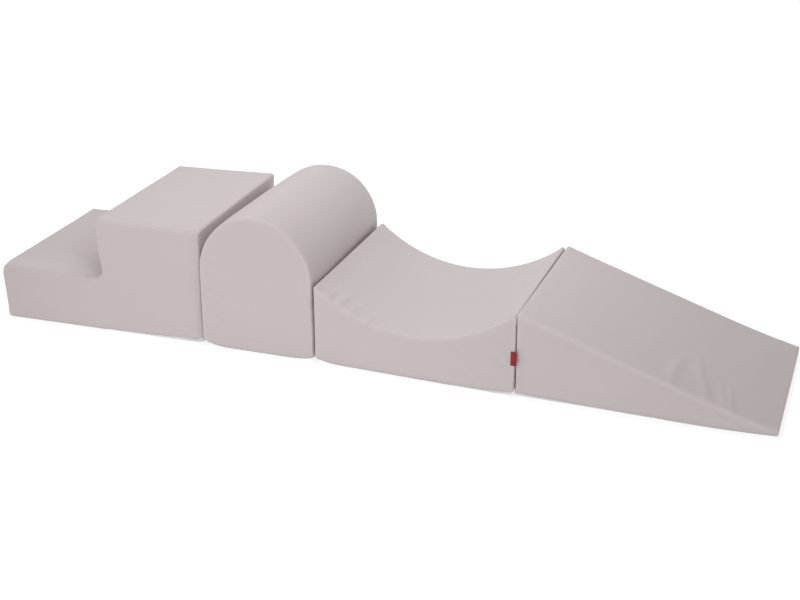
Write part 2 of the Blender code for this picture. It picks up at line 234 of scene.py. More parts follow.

# %% [markdown]
# ## Leatherette
# The cover is a soft polyurethane leatherette: warm light grey, matt with a low
# satin shine, and finely pebbled. Its colour drifts a little from place to
# place, and the pebbles are the edges of small Voronoi cells. Along the sewn
# edges it is smoother and a shade lighter, partly rub and partly painted
# highlight. Painted contact shade darkens it where it meets the floor, and
# painted shade darkens it in a few places where the light falls off. Each cover
# carries an "edge", a "foot" and a painted-shade attribute for these, so they
# follow the seams and folds and not the axes.

# %% Leatherette
DRIFT_SCALE, MOTTLE_SCALE, PEBBLE_SCALE, CREASE_SCALE = 2.3, 28, 620, 190
COVER_GREYS = ((0.500, 0.441, 0.446, 1), (0.528, 0.469, 0.472, 1))
MOTTLE_GREY, MOTTLE_SHARE = (0.500, 0.439, 0.437, 1), 0.35
# Tones for the seams' rub with painted highlight, for painted contact shade along the floor, and
# for painted shade.
RUB_AND_HIGHLIGHT_GREY, FLOOR_SHADE_GREY = (0.600, 0.540, 0.540, 1), (0.385, 0.375, 0.370, 1)
PAINTED_SHADE_GREY, MARK_SHARE = (0.400, 0.340, 0.350, 1), 0.7
COVER_ROUGHNESS, SHINE_DRIFT, SHINE_RUB = 0.5, 0.12, 0.06
PEBBLE_DEPTH, PEBBLE_SHARE = 0.00012, 0.7
# The three attributes: the seams' rub with painted highlight, the foot's painted contact shade,
# and painted shade.
MARKS = ("edge", "foot", "worn")


def leatherette():
    """Return the covers' material."""
    finish = Finish("leatherette", COVER_ROUGHNESS)
    finish.put("Specular IOR Level", 0.3)
    edge, foot, worn = [
        finish.node("ShaderNodeAttribute", {"attribute_name": name}, output="Fac")
        for name in MARKS]
    mottle = finish.cloud(MOTTLE_SCALE, detail=4.0)
    tone = finish.blend(finish.cloud(DRIFT_SCALE), *COVER_GREYS)
    # Blend in the random mottle, the seams' rub with painted highlight, the painted contact shade
    # at the foot, and the painted shade.
    for share, grey in ((mottle * MOTTLE_SHARE, MOTTLE_GREY), (edge * MARK_SHARE, RUB_AND_HIGHLIGHT_GREY),
                        (foot * MARK_SHARE, FLOOR_SHADE_GREY), (worn, PAINTED_SHADE_GREY)):
        tone = finish.blend(share, tone, grey)
    finish.put("Base Color", tone)
    pebble = finish.node("ShaderNodeTexVoronoi", {"feature": "DISTANCE_TO_EDGE"},
                         {"Vector": finish.place(), "Scale": PEBBLE_SCALE})
    crease = finish.cloud(CREASE_SCALE, detail=3.0)
    shine = COVER_ROUGHNESS + (mottle - 0.5) * SHINE_DRIFT - edge * SHINE_RUB
    finish.put("Roughness", shine)
    finish.bump(pebble * PEBBLE_SHARE + crease * (1 - PEBBLE_SHARE), PEBBLE_DEPTH)
    return finish.material


cover_material = leatherette()
print("made", cover_material.name)

# %% [markdown]
# ## Base fabric, foam, zip tape, metal and ribbon
# The base is a pale woven fabric with tiny grip dots, the foam is a pricked
# open-cell surface, the tape and the ribbon are ribbed weaves, and the zip's
# metal is brushed nickel. All of them read the place on the object, so the
# scale is real wherever the piece lies.

# %% Other finishes
DOT_SCALE, GRIME_SCALE, FOAM_CELL_SCALE, STREAK_SCALE = 260, 9, 520, 700
BASE_WEAVE_SCALE, TAPE_WEAVE_SCALE, RIBBON_WEAVE_SCALE = 900, 1100, 800
DOT_DEPTH, DOT_SHARE, CELL_DEPTH, RIB_DEPTH = 0.0003, 0.7, 0.0006, 0.0002
NICKEL_ROUGHNESS, STREAK_ROUGHNESS = 0.28, 0.15
BASE_TONES = ((0.62, 0.63, 0.63, 1), (0.70, 0.71, 0.71, 1))
FOAM_TONES = ((0.84, 0.81, 0.70, 1), (0.62, 0.58, 0.46, 1))
TAPE_TONES = ((0.36, 0.32, 0.32, 1), (0.48, 0.43, 0.43, 1))
RIBBON_TONES = ((0.20, 0.004, 0.008, 1), (0.40, 0.014, 0.022, 1))
NICKEL_TONES = ((0.38, 0.37, 0.36, 1), (0.52, 0.51, 0.49, 1))


def weave(finish, scale):
    """Return a ribbed height from two sets of waves that cross."""
    across, upright = [
        finish.node("ShaderNodeTexWave", {"wave_type": "BANDS", "bands_direction": axis},
                    {"Vector": finish.place(), "Scale": scale})
        for axis in ("X", "Z")]
    return across * 0.5 + upright * 0.5


def base_fabric():
    """Return the pale non-slip fabric."""
    finish = Finish("base_fabric", 0.85)
    dots = finish.node("ShaderNodeTexVoronoi", None,
                       {"Vector": finish.place(), "Scale": DOT_SCALE, "Randomness": 0.0})
    grime = finish.cloud(GRIME_SCALE, detail=4.0)
    finish.put("Base Color", finish.blend(grime, *BASE_TONES))
    ribs = weave(finish, BASE_WEAVE_SCALE)
    finish.bump(dots * DOT_SHARE + ribs * (1 - DOT_SHARE), DOT_DEPTH)
    return finish.material


def foam():
    """Return cut open-cell foam."""
    finish = Finish("foam", 0.95)
    cells = finish.node("ShaderNodeTexVoronoi", None,
                        {"Vector": finish.place(), "Scale": FOAM_CELL_SCALE})
    finish.put("Base Color", finish.blend(cells * 1.2, *FOAM_TONES))
    finish.bump(cells, CELL_DEPTH)
    return finish.material


def woven(name, tones, scale):
    """Return a ribbed weave between two colours."""
    finish = Finish(name, 0.8)
    ribs = weave(finish, scale)
    finish.put("Base Color", finish.blend(ribs, *tones))
    finish.put("Sheen Weight", 0.2)
    finish.bump(ribs, RIB_DEPTH)
    return finish.material


def nickel():
    """Return brushed nickel."""
    finish = Finish("nickel", 0.35, 1.0)
    streaks = finish.cloud(STREAK_SCALE, detail=3.0)
    finish.put("Base Color", finish.blend(streaks, *NICKEL_TONES))
    finish.put("Roughness", NICKEL_ROUGHNESS + streaks * STREAK_ROUGHNESS)
    return finish.material


base_material = base_fabric()
foam_material = foam()
tape_material = woven("zip_tape", TAPE_TONES, TAPE_WEAVE_SCALE)
ribbon_material = woven("ribbon", RIBBON_TONES, RIBBON_WEAVE_SCALE)
metal_material = nickel()
print("made", len(bpy.data.materials), "materials, with the frame's own")

# %% [markdown]
# ## Turning a shape into a piece
# A finished piece's object sits at the origin, unturned, with its place in its
# mesh. The first helper stands the square shape in its place, shades it, and
# says which body it rides on, which finish it has and which solid it replaces.
# The others do what many of the pieces need: a push, a bevel and a wall. Some
# operators number their new points differently in each run, and the cloth
# simulation answers to that. So the push extrudes one face by itself, which
# doesn't, and one helper puts a shape's points and faces in order of place.

# %% Piece helpers


def add_piece(block, part, shape, material, replaced=None, body=None):
    """Turn a bmesh in a block's own space into a finished piece of that block."""
    name = block.name + "_" + part
    shape.transform(places[block.name])
    mesh = bpy.data.meshes.new(name)
    shape.to_mesh(mesh)
    shape.free()
    mesh.materials.append(material)
    mesh.shade_smooth()
    item = added_object(name, mesh)
    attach(item, block.name + "_" + body if body else block.name)
    if replaced:
        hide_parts(block.name + "_" + replaced)
    print("made", name, "with", len(mesh.polygons), "faces")
    return item


def only_verts(result):
    """Return the points among what an operator made."""
    return [part for part in result["geom"] if isinstance(part, bmesh.types.BMVert)]


def extruded(points, travel):
    """Return a closed solid: a flat outline pushed along a vector."""
    solid = bmesh.new()
    start = [solid.verts.new(point) for point in points]
    pushed = bmesh.ops.extrude_discrete_faces(solid, faces=[solid.faces.new(start)])
    bmesh.ops.translate(solid, verts=pushed["faces"][0].verts, vec=travel)
    solid.faces.new(start)
    bmesh.ops.recalc_face_normals(solid, faces=solid.faces)
    return solid


def in_order(shape):
    """Rebuild a shape with its points and faces in order of place."""
    verts = sorted(shape.verts, key=lambda vert: tuple(vert.co))
    for index, vert in enumerate(verts):
        vert.index = index
    rings = []
    for face in shape.faces:
        ring = [vert.index for vert in face.verts]
        first = ring.index(min(ring))
        rings.append((ring[first:] + ring[:first], face.material_index))
    ordered = bmesh.new()
    points = [ordered.verts.new(vert.co) for vert in verts]
    for ring, number in sorted(rings):
        ordered.faces.new([points[index] for index in ring]).material_index = number
    ordered.normal_update()
    shape.free()
    return ordered


def long_edges(shape, axis, least):
    """Return the edges that run further than a length along one axis."""
    return [edge for edge in shape.edges
            if abs(edge.verts[0].co[axis] - edge.verts[1].co[axis]) > least]


def round_edges(shape, edges, width, segments):
    """Bevel some edges of a shape."""
    bmesh.ops.bevel(shape, geom=edges, offset=width, offset_type="OFFSET", segments=segments,
                    profile=0.5, affect="EDGES", material=-1)


def give_wall(item, thickness, offset):
    """Give a sheet its cloth's thickness: inward at -1, to both sides at 0."""
    wall = item.modifiers.new("cloth", "SOLIDIFY")
    wall.thickness = thickness
    wall.offset = offset
    return wall


print("piece helpers are ready")

# %% [markdown]
# ## The blocks' outlines
# From the front, a block is an outline with rounded corners. The corners are
# given in order, anticlockwise, each with its own round. Long straight runs are
# divided, because the cover needs points all along them to swell and crease.

# %% Outlines
GRID = 0.006
ROUND_STEP = math.radians(15)
FOOT_ROUND = 0.012
TALL_FOOT_ROUND, FIRM_FOOT_ROUND = 0.017, 0.008
STEP_LIP_ROUND = 0.012
STEP_TOP_ROUND = 0.010
STEP_END_ROUND = 0.0065
STEP_CREASE_ROUND = 0.004
LIP_ROUND = 0.0045
RAMP_ROUND = 0.005
ARCH_SIDES = 64
VALLEY_SIDES = 60


def rounded(corners):
    """Return an outline in which each (x, z, radius) corner is a round."""
    points = []
    for index, (x, z, radius) in enumerate(corners):
        corner = Vector((x, z))
        if radius == 0:
            points.append(corner)
            continue
        following = corners[(index + 1) % len(corners)]
        back = (Vector(corners[index - 1][:2]) - corner).normalized()
        ahead = (Vector(following[:2]) - corner).normalized()
        half = back.angle(ahead) / 2
        centre = corner + (back + ahead).normalized() * (radius / math.sin(half))
        arm = corner + back * (radius / math.tan(half)) - centre
        turn = math.copysign(math.pi - 2 * half, -back.cross(ahead))
        steps = max(2, round(abs(turn) / ROUND_STEP))
        for step in range(steps + 1):
            points.append(centre + Matrix.Rotation(turn * step / steps, 2) @ arm)
    return points


def divided(points, spacing):
    """Divide an outline's long runs evenly."""
    finer = []
    for start, end in zip(points, points[1:] + points[:1]):
        parts = max(1, round((end - start).length / spacing))
        finer += [start.lerp(end, part / parts) for part in range(parts)]
    return finer


def arc(centre_x, centre_z, radius, start, end, sides):
    """Return square corners along an arc."""
    angles = [start + (end - start) * side / sides for side in range(sides + 1)]
    return [(centre_x + radius * math.cos(angle), centre_z + radius * math.sin(angle), 0)
            for angle in angles]


step_corners = [
    (0, 0, FOOT_ROUND),
    (STEP_LENGTH, 0, FOOT_ROUND),
    (STEP_LENGTH, STEP_HEIGHT, STEP_END_ROUND),
    (STEP_TREAD, STEP_HEIGHT, STEP_TOP_ROUND),
    (STEP_TREAD, STEP_RISE, STEP_CREASE_ROUND),
    (0, STEP_RISE, STEP_LIP_ROUND),
]
arch_feet = [(0, 0, TALL_FOOT_ROUND), (ARCH_LENGTH, 0, FIRM_FOOT_ROUND)]
arch_radius = ARCH_LENGTH / 2
arch_top = arc(arch_radius, ARCH_HEIGHT - arch_radius, arch_radius, 0, math.pi, ARCH_SIDES)
trough_drop = JOIN_HEIGHT - VALLEY_FLOOR
trough_radius = ((VALLEY_LENGTH / 2) ** 2 + trough_drop ** 2) / (2 * trough_drop)
trough_half = math.asin(VALLEY_LENGTH / 2 / trough_radius)
trough = arc(VALLEY_LENGTH / 2, VALLEY_FLOOR + trough_radius, trough_radius,
             trough_half - math.pi / 2, -trough_half - math.pi / 2, VALLEY_SIDES)
valley_feet = [(0, 0, FIRM_FOOT_ROUND), (VALLEY_LENGTH, 0, TALL_FOOT_ROUND)]
valley_lips = [(VALLEY_LENGTH, JOIN_HEIGHT, LIP_ROUND), (0, JOIN_HEIGHT, LIP_ROUND)]
ramp_corners = [
    (0, 0, FIRM_FOOT_ROUND),
    (RAMP_LENGTH, 0, RAMP_ROUND),
    (RAMP_LENGTH, RAMP_TIP, RAMP_ROUND),
    (0, JOIN_HEIGHT, RAMP_ROUND),
]
print("the trough's radius in m:", round(trough_radius, 4))

# %% [markdown]
# ## A full cover's skin
# The skin of a block is its outline pushed back to the block's depth, with the
# front and back edges rounded by a bevel. The seam runs along the middle of
# that round. The face numbers remember which panel each face belongs to. Cuts
# by planes then give the flat faces a fine grid, as pins would in a real cloth.

# %% Skin
FRONT, BACK, BAND, BASE, SLOT = range(5)
ARRIS_SEGMENTS = 6
BASE_ANGLE, UNDER_ANGLE = math.radians(8), math.radians(60)
CUT_SNAP = 0.0004
ZIP_HEIGHT, SLOT_WIDTH, ZIP_MARGIN = 0.02, 0.007, 0.05


def cut(skin, point, normal, panel):
    """Cut new edges where a plane meets one panel of the skin."""
    faces = [face for face in skin.faces if face.material_index == panel]
    edges = dict.fromkeys(edge for face in faces for edge in face.edges)
    verts = dict.fromkeys(vert for face in faces for vert in face.verts)
    bmesh.ops.bisect_plane(skin, geom=[*faces, *edges, *verts], dist=CUT_SNAP,
                           plane_co=point, plane_no=normal)


def panel_number(normal):
    """Return the panel that a face of the square-edged block belongs to."""
    if abs(normal.y) > abs(normal.x) + abs(normal.z):
        return FRONT if normal.y < 0 else BACK
    return BASE if normal.z < -math.cos(BASE_ANGLE) else BAND


def base_line(skin, block):
    """Let the base fabric roll up over the front's foot, higher at one end."""
    if block.roll:
        (start_x, start_z), (end_x, end_z) = block.roll
        cut(skin, (start_x, 0, start_z), (start_z - end_z, 0, end_x - start_x), FRONT)
    for face in skin.faces:
        middle = face.calc_center_median()
        if face.material_index in (FRONT, BACK) and face.normal.z < -math.sin(UNDER_ANGLE):
            face.material_index = BASE
        if block.roll and face.material_index == FRONT:
            share = (middle.x - start_x) / (end_x - start_x)
            if 0 < share and middle.z < start_z + (end_z - start_z) * share:
                face.material_index = BASE


def zip_slot(skin, block):
    """Mark the slot in the back panel that the zip shows through."""
    low, high = ZIP_HEIGHT - SLOT_WIDTH / 2, ZIP_HEIGHT + SLOT_WIDTH / 2
    for height in (low, high):
        cut(skin, (0, 0, height), (0, 0, 1), BACK)
    for end in (ZIP_MARGIN, block.zip_end):
        cut(skin, (end, 0, 0), (1, 0, 0), BACK)
    for face in skin.faces:
        middle = face.calc_center_median()
        inside = low < middle.z < high and ZIP_MARGIN < middle.x < block.zip_end
        if face.material_index == BACK and inside:
            face.material_index = SLOT


def square_skin(block, spacing):
    """Return the block's skin before it swells, with its panels numbered."""
    points = divided(rounded(block.corners), spacing)
    skin = extruded([(point.x, 0, point.y) for point in points], (0, DEPTH, 0))
    for face in skin.faces:
        face.material_index = panel_number(face.normal)
    arris = [edge for edge in skin.edges
             if any(face.material_index in (FRONT, BACK) for face in edge.link_faces)]
    round_edges(skin, arris, block.edge_round, ARRIS_SEGMENTS)
    bmesh.ops.subdivide_edges(skin, edges=long_edges(skin, 1, DEPTH / 2),
                              cuts=round(DEPTH / spacing))
    base_line(skin, block)
    for panel in (FRONT, BACK):
        for index in range(1, round(block.length / spacing)):
            cut(skin, (index * spacing, 0, 0), (1, 0, 0), panel)
        for index in range(1, round(block.height / spacing)):
            cut(skin, (0, 0, index * spacing), (0, 0, 1), panel)
    zip_slot(skin, block)
    return in_order(skin)


print("skin helpers are ready")

# %% [markdown]
# ## Thread draws the seams in
# A sewn seam ends up a little shorter than the cloth beside it, and the cloth
# answers with puckers and drag lines. Blender's Cloth works them out on a copy
# of the skin: the seams shrink, pressure stands for the squeezed foam, and a
# soft pin on every point for its support. Only the fine part of the result is
# kept, so it doesn't disturb the block's shape.

# %% Simulated puckers
MILLIMETRE = 0.001
SIMULATED_FRAMES = 10
FOAM_PRESSURE, SEAM_DRAW = 2.0, 0.03
FOAM_HOLD, SEAM_HOLD = 0.02, 0.2
CLOTH_STIFFNESS, CLOTH_SHEAR, CLOTH_BEND, CLOTH_QUALITY = 15, 5, 0.5, 3
FINE_PASSES, COARSE_PASSES = 2, 24
PUCKER_GAIN, PUCKER_LIMIT = 0.8, 0.0011


def spread_out(values, ends, passes):
    """Average each point's value with its neighbours', several times over."""
    count = np.bincount(ends.ravel(), minlength=len(values))
    for _ in range(passes):
        total = np.bincount(ends[:, 0], values[ends[:, 1]], len(values))
        total += np.bincount(ends[:, 1], values[ends[:, 0]], len(values))
        values = (values + total) / (1 + count)
    return values


def drawn_seams(item, skin):
    """Give a skin's copy its Cloth, with groups for the seams and what is held still."""
    seams, still = set(), set()
    for edge in skin.edges:
        panels = {face.material_index for face in edge.link_faces}
        points = [vert.index for vert in edge.verts]
        if len(panels) > 1:
            seams.update(points)
        if panels & {BASE, SLOT}:
            still.update(points)
    held = item.vertex_groups.new(name="held")
    held.add(range(len(skin.verts)), FOAM_HOLD, "REPLACE")
    held.add(sorted(seams), SEAM_HOLD, "REPLACE")
    held.add(sorted(still), 1.0, "REPLACE")
    item.vertex_groups.new(name="sewn").add(sorted(seams), 1.0, "REPLACE")
    cloth = item.modifiers.new("cloth", "CLOTH")
    cloth.collision_settings.use_collision = False
    cloth.point_cache.frame_start, cloth.point_cache.frame_end = 1, SIMULATED_FRAMES
    settings = cloth.settings
    settings.quality = CLOTH_QUALITY
    settings.tension_stiffness = settings.compression_stiffness = CLOTH_STIFFNESS
    settings.shear_stiffness, settings.bending_stiffness = CLOTH_SHEAR, CLOTH_BEND
    settings.use_pressure, settings.uniform_pressure_force = True, FOAM_PRESSURE
    settings.vertex_group_mass, settings.vertex_group_shrink = "held", "sewn"
    settings.shrink_max = SEAM_DRAW
    settings.effector_weights.gravity = 0


def simulated_puckers(skin):
    """Return how far the drawn seams lift or sink each point of a skin."""
    mesh = bpy.data.meshes.new("cover_trial")
    skin.to_mesh(mesh)
    item = added_object("cover_trial", mesh)
    skin.verts.index_update()
    drawn_seams(item, skin)
    for frame in range(1, SIMULATED_FRAMES + 1):
        bpy.context.scene.frame_set(frame)
    drawn = item.evaluated_get(bpy.context.evaluated_depsgraph_get()).data
    lift = np.array([(after.co - vert.co).dot(vert.normal)
                     for after, vert in zip(drawn.vertices, skin.verts)])
    bpy.data.objects.remove(item)
    bpy.data.meshes.remove(mesh)
    bpy.context.scene.frame_set(1)
    ends = np.array([[vert.index for vert in edge.verts] for edge in skin.edges])
    fine = spread_out(lift, ends, FINE_PASSES) - spread_out(lift, ends, COARSE_PASSES)
    print("simulated", len(lift), "points, lifted in mm by",
          np.percentile(lift / MILLIMETRE, (5, 50, 95)).round(2),
          "and fine by", np.percentile(fine / MILLIMETRE, (1, 50, 99)).round(2))
    return PUCKER_LIMIT * np.tanh(fine * PUCKER_GAIN / PUCKER_LIMIT)


print("pucker helpers are ready")

# %% [markdown]
# ## Foam pushes the cover out
# A filled cover swells a few millimetres between its seams, and it is never
# quite even. The crown, the slow waves and the simulated puckers are a push
# along each point's own normal, and the crown grows with the distance from the
# nearest seam or folded corner.

# %% Swell and waves
TOP_CROWN, SIDE_CROWN, END_CROWN = 0.004, 0.003, 0.002
CROWN_REACH = 0.1
WAVE_HEIGHT, WAVE_LENGTH = 0.0011, 0.11
STEADY_HEIGHT = 0.03
EDGE_SHADE_REACH, FOOT_SHADE_REACH = 0.007, 0.007
# The seams' lighter tone is part rub and part painted highlight.
SEAM_RUB_AND_HIGHLIGHT = 0.5


def smooth(share):
    """Ease a share from 0 to 1."""
    share = np.clip(share, 0, 1)
    return share * share * (3 - 2 * share)


def path_distance(points, path):
    """Return each point's distance to a path, and how far along it that is."""
    nearest = np.full(len(points), np.inf)
    along = np.zeros(len(points))
    path = np.asarray(path, float)
    lengths = np.linalg.norm(np.diff(path, axis=0), axis=1)
    done = 0.0
    for start, end, length in zip(path, path[1:], lengths):
        run = end - start
        share = np.clip((points - start) @ run / (run @ run), 0, 1)
        distance = np.linalg.norm(points - start - share[:, None] * run, axis=1)
        closer = distance < nearest
        nearest = np.where(closer, distance, nearest)
        along = np.where(closer, (done + share * length) / lengths.sum(), along)
        done += length
    return nearest, along


def clamped(share):
    """Keep a share between 0 and 1."""
    return min(1.0, max(0.0, share))


def bumpy(points, length):
    """Return smooth noise from -1 to 1 with bumps of about the given length."""
    return np.array([noise.noise(Vector(point) / length) for point in points])


def measured(skin, block):
    """Return the skin's points, normals and distances as arrays."""
    places_now = np.array([vert.co for vert in skin.verts])
    flat = places_now[:, [0, 2]]
    outline = [tuple(point) for point in rounded(block.corners)]
    from_outline, _ = path_distance(flat, outline + outline[:1])
    from_arris = np.minimum(places_now[:, 1], DEPTH - places_now[:, 1])
    corners = np.array([corner[:2] for corner in block.corners if corner[2] > 0])
    from_corner = np.min(np.linalg.norm(flat[:, None] - corners[None], axis=2), axis=1)
    return SimpleNamespace(
        points=places_now, normals=np.array([vert.normal for vert in skin.verts]),
        outline=from_outline, arris=from_arris, corner=from_corner,
        seam=np.maximum(from_outline, from_arris))


def evenly(share):
    """Return a rub and painted highlight along all of a block's seams."""
    return lambda at: share * np.exp(-(at.seam / EDGE_SHADE_REACH) ** 2)


def on_top(at, facing=0.5, fade=0.3):
    """Return how far each point faces up, eased from 0 to 1."""
    return smooth((at.normals[:, 2] - facing) / fade)


def no_painted_shade(at):
    """Return no painted shade, for a cover that has none."""
    return np.zeros(len(at.points))


def swell(skin, block, puckers):
    """Push the skin out as its filling does, and keep how near its seams lie."""
    at = measured(skin, block)
    zip_flat = np.where(at.points[:, 1] > DEPTH / 2,
                        np.maximum(0, at.points[:, 2] - ZIP_HEIGHT - SLOT_WIDTH), np.inf)
    from_outline = np.minimum(at.outline, zip_flat)
    reach = np.maximum(np.minimum(at.arris, at.corner), from_outline) / CROWN_REACH
    upward = np.maximum(at.normals[:, 2], 0)
    crown = END_CROWN * at.normals[:, 0] ** 2 + SIDE_CROWN * at.normals[:, 1] ** 2
    crown += TOP_CROWN * upward ** 2
    lift = crown * smooth(reach)
    off_floor = smooth(at.points[:, 2] / STEADY_HEIGHT) * (zip_flat > 0)
    waves = WAVE_HEIGHT * bumpy(at.points, WAVE_LENGTH) * smooth(reach * 2)
    lift += (waves + puckers) * off_floor
    # Keep three shares at each point: the seams' rub with painted highlight, the painted contact
    # shade at the floor, and the painted shade.
    layers = [skin.verts.layers.float.new(name) for name in MARKS]
    floor_shade = np.exp(-(at.points[:, 2] / FOOT_SHADE_REACH) ** 2)
    shares_of_marks = zip(block.rub(at) * (1 - floor_shade), floor_shade, block.wear(at))
    for vert, push, shares in zip(skin.verts, lift, shares_of_marks):
        vert.co += vert.normal * push
        for layer, share in zip(layers, shares):
            vert[layer] = share
    skin.normal_update()


print("swell helpers are ready")

# %% [markdown]
# ## Folds, where the photograph shows them
# A fold is a low soft ridge along a path on one panel. It starts at a seam,
# where the cloth is gathered, and dies out along the panel.

# %% Folds
FOLD_START, FOLD_END = 0.25, 0.5


def press_fold(skin, panel, path, height, width):
    """Raise one fold along a path: in x and z on the front, in x and y on the band."""
    axes = (0, 2) if panel == FRONT else (0, 1)
    verts = list(dict.fromkeys(vert for face in skin.faces if face.material_index == panel
                               for vert in face.verts))
    flat = np.array([[vert.co[axis] for axis in axes] for vert in verts])
    distance, along = path_distance(flat, path)
    fade = smooth(along / FOLD_START) * smooth((1 - along) / FOLD_END)
    push = height * np.exp(-(distance / width) ** 2)
    for vert, amount in zip(verts, push * fade):
        vert.co += vert.normal * amount
    skin.normal_update()


print("fold helper is ready")

# %% [markdown]
# ## Out of square
# Cut foam is never quite square, and the floor and the neighbours push on it.
# So a block's eight corners are moved by some millimetres, and everything
# between them follows. The front's lower corners are also rolled up off the
# floor, and an edge can be rounded off where the foam is slack in its cover.
# The lowest 30 mm of the back stay put, because the zips sit there.

# %% Out of square
CORNER_REACH, CORNER_DEPTH, CORNER_RISE = 0.070, 0.09, 0.06
ROUND_POWER = 5


def settle(skin, block):
    """Move a block's corners, and all of its skin with them."""
    for vert in skin.verts:
        rise = (vert.co.z - STEADY_HEIGHT) / (block.height - STEADY_HEIGHT)
        parts = (vert.co.x / block.length, vert.co.y / DEPTH, rise)
        move = Vector()
        for corner, offset in block.moved.items():
            weight = math.prod(clamped(part) if far else 1 - clamped(part)
                               for part, far in zip(parts, corner))
            move += Vector(offset) * weight
        vert.co += move * MILLIMETRE


def roll_corners(skin, block):
    """Lift the front's lower left and right corners."""
    for vert in skin.verts:
        front = max(0.0, 1 - vert.co.y / CORNER_DEPTH) * max(0.0, 1 - vert.co.z / CORNER_RISE)
        for lift, inset in zip(block.lifts, (vert.co.x, block.length - vert.co.x)):
            near = clamped(1 - inset / CORNER_REACH)
            vert.co.z += lift * near * near * front


def round_off(skin, axes, corner, inward, reach, strength):
    """Round the edge where two faces meet, by up to a strength at each point."""
    for vert in skin.verts:
        depths = [1 - side * (vert.co[axis] - place) / length
                  for axis, place, side, length in zip(axes, corner, inward, reach)]
        if min(depths) <= 0:
            continue
        square_norm = sum(depth ** ROUND_POWER for depth in depths) ** (1 / ROUND_POWER)
        drawn = square_norm / math.hypot(*depths)
        share = strength(vert.co)
        for axis, place, side, length, depth in zip(axes, corner, inward, reach, depths):
            rounded_place = place + side * length * (1 - depth * drawn)
            vert.co[axis] += (rounded_place - vert.co[axis]) * share


print("settling helpers are ready")

# %% [markdown]
# ## From skin to sewn panels
# A cover is sewn from a front, a back, a long band that runs over the top, and
# the base. Each panel is cut out of the skin. Its rim is pulled back a hair and
# turned in, which makes the fine groove of a seam, and a Solidify modifier
# gives it the cloth's thickness on the inside.

# %% Panels and foam
SEAM_GAP = 0.00006
SEAM_TUCK = 0.0001
COVER_THICKNESS = 0.0011
FOAM_INSET = 0.0022
FOAM_GRID = 0.024


def cut_panel(skin, number):
    """Return one panel of the skin, with its rim turned in."""
    sheet = skin.copy()
    others = [face for face in sheet.faces if face.material_index != number]
    bmesh.ops.delete(sheet, geom=others, context="FACES")
    shifts = []
    for vert in sheet.verts:
        inward = []
        for edge in vert.link_edges:
            if edge.is_boundary:
                face = edge.link_faces[0]
                across = face.normal.cross(edge.verts[1].co - edge.verts[0].co).normalized()
                if across.dot(face.calc_center_median() - edge.verts[0].co) < 0:
                    across.negate()
                inward.append(across)
        if inward:
            trim = sum(inward, Vector()).normalized() * SEAM_GAP
            shifts.append((vert, trim - vert.normal * SEAM_TUCK))
    for vert, shift in shifts:
        vert.co += shift
    for face in sheet.faces:
        face.material_index = 0
    return sheet


def sew(block, number, part, material):
    """Add one panel of a block's cover."""
    panel = cut_panel(block.skin, number)
    item = add_piece(block, part + "_cover", panel, material, part)
    give_wall(item, COVER_THICKNESS, -1).use_even_offset = True


def shape_up(skin, block):
    """Give a swollen skin its block's own form."""
    block.shape(skin)
    roll_corners(skin, block)
    settle(skin, block)
    skin.normal_update()


def foam_block(block):
    """Add the foam core, a coarser skin moved in by the cover."""
    core = square_skin(block, FOAM_GRID)
    swell(core, block, 0)
    shape_up(core, block)
    for face in core.faces:
        face.material_index = 0
    for vert in core.verts:
        vert.co -= vert.normal * FOAM_INSET
    item = add_piece(block, "foam", core, foam_material, "foam_core")


def cover(block):
    """Add the four panels of a block's cover, and the foam inside."""
    block.skin = square_skin(block, GRID)
    swell(block.skin, block, simulated_puckers(block.skin))
    for fold in block.folds:
        press_fold(block.skin, *fold)
    shape_up(block.skin, block)
    for number, part in ((FRONT, "front_panel"), (BACK, "back_panel"), (BAND, "top_band")):
        sew(block, number, part, cover_material)
    sew(block, BASE, "base_panel", base_material)
    block.skin.free()
    foam_block(block)


print("panel helpers are ready")

# %% [markdown]
# ## The step block
# Its foam is cut a little slack of its cover, so its edges are rounder than the
# others', above all the tread's front edge. That edge is a shade lighter, partly
# rub and partly painted highlight. Painted shadow darkens the tread before the
# riser, and painted shade darkens the left of the front. The base fabric shows
# under its right front edge.

# %% Step block
EDGE_ROUND = 0.0038
STEP_EDGE_ROUND = 0.007
TREAD_ROUND, TREAD_FADE = (0.036, 0.028), 0.06
# The tread's front edge has a painted highlight, partly rub, and the seams have a faint one.
STEP_SEAM_RUB_AND_HIGHLIGHT = 0.3
TREAD_RUB_AND_HIGHLIGHT, TREAD_HIGHLIGHT_REACH, TREAD_HIGHLIGHT_INSET = 0.3, 0.03, 0.02
# The riser's painted shadow on the tread slants back from the crease; painted shade darkens the
# front's left end.
CREASE_PAINTED_SHADOW, CREASE_SHADOW_FADE = 0.42, (0.11, 0.14)
CREASE_SHADOW_SLANT, CREASE_SHADOW_START = 0.60, 0.06
FRONT_PAINTED_SHADE, FRONT_SHADE_REACH, FRONT_SHADE_DEPTH = 0.22, 0.32, 0.02
RISER_ROUND, RISER_START, RISER_FADE, RISER_SLACK = (0.028, 0.028), 0.015, 0.10, 0.75
TOP_FRONT_ROUND = (0.016, 0.014)
TREAD_LIFT = 0.004
STEP_SIDE_ROUND, STEP_SIDE_SLACK = (0.024, 0.024), 0.6


def tread_share(point):
    """Return how far a point is left of the riser, eased from 0 to 1."""
    return float(smooth((STEP_TREAD - point.x) / TREAD_FADE))


def riser_share(point):
    """Return how slack the riser's upright edge is: least at its top."""
    rise = point.z - STEP_RISE
    return float(smooth(rise / RISER_START) * (1 - RISER_SLACK * smooth(rise / RISER_FADE)))


def step_side_share(point):
    """Return how slack the right upright edge is: least at its top."""
    return 1 - STEP_SIDE_SLACK * float(smooth(point.z / STEP_HEIGHT))


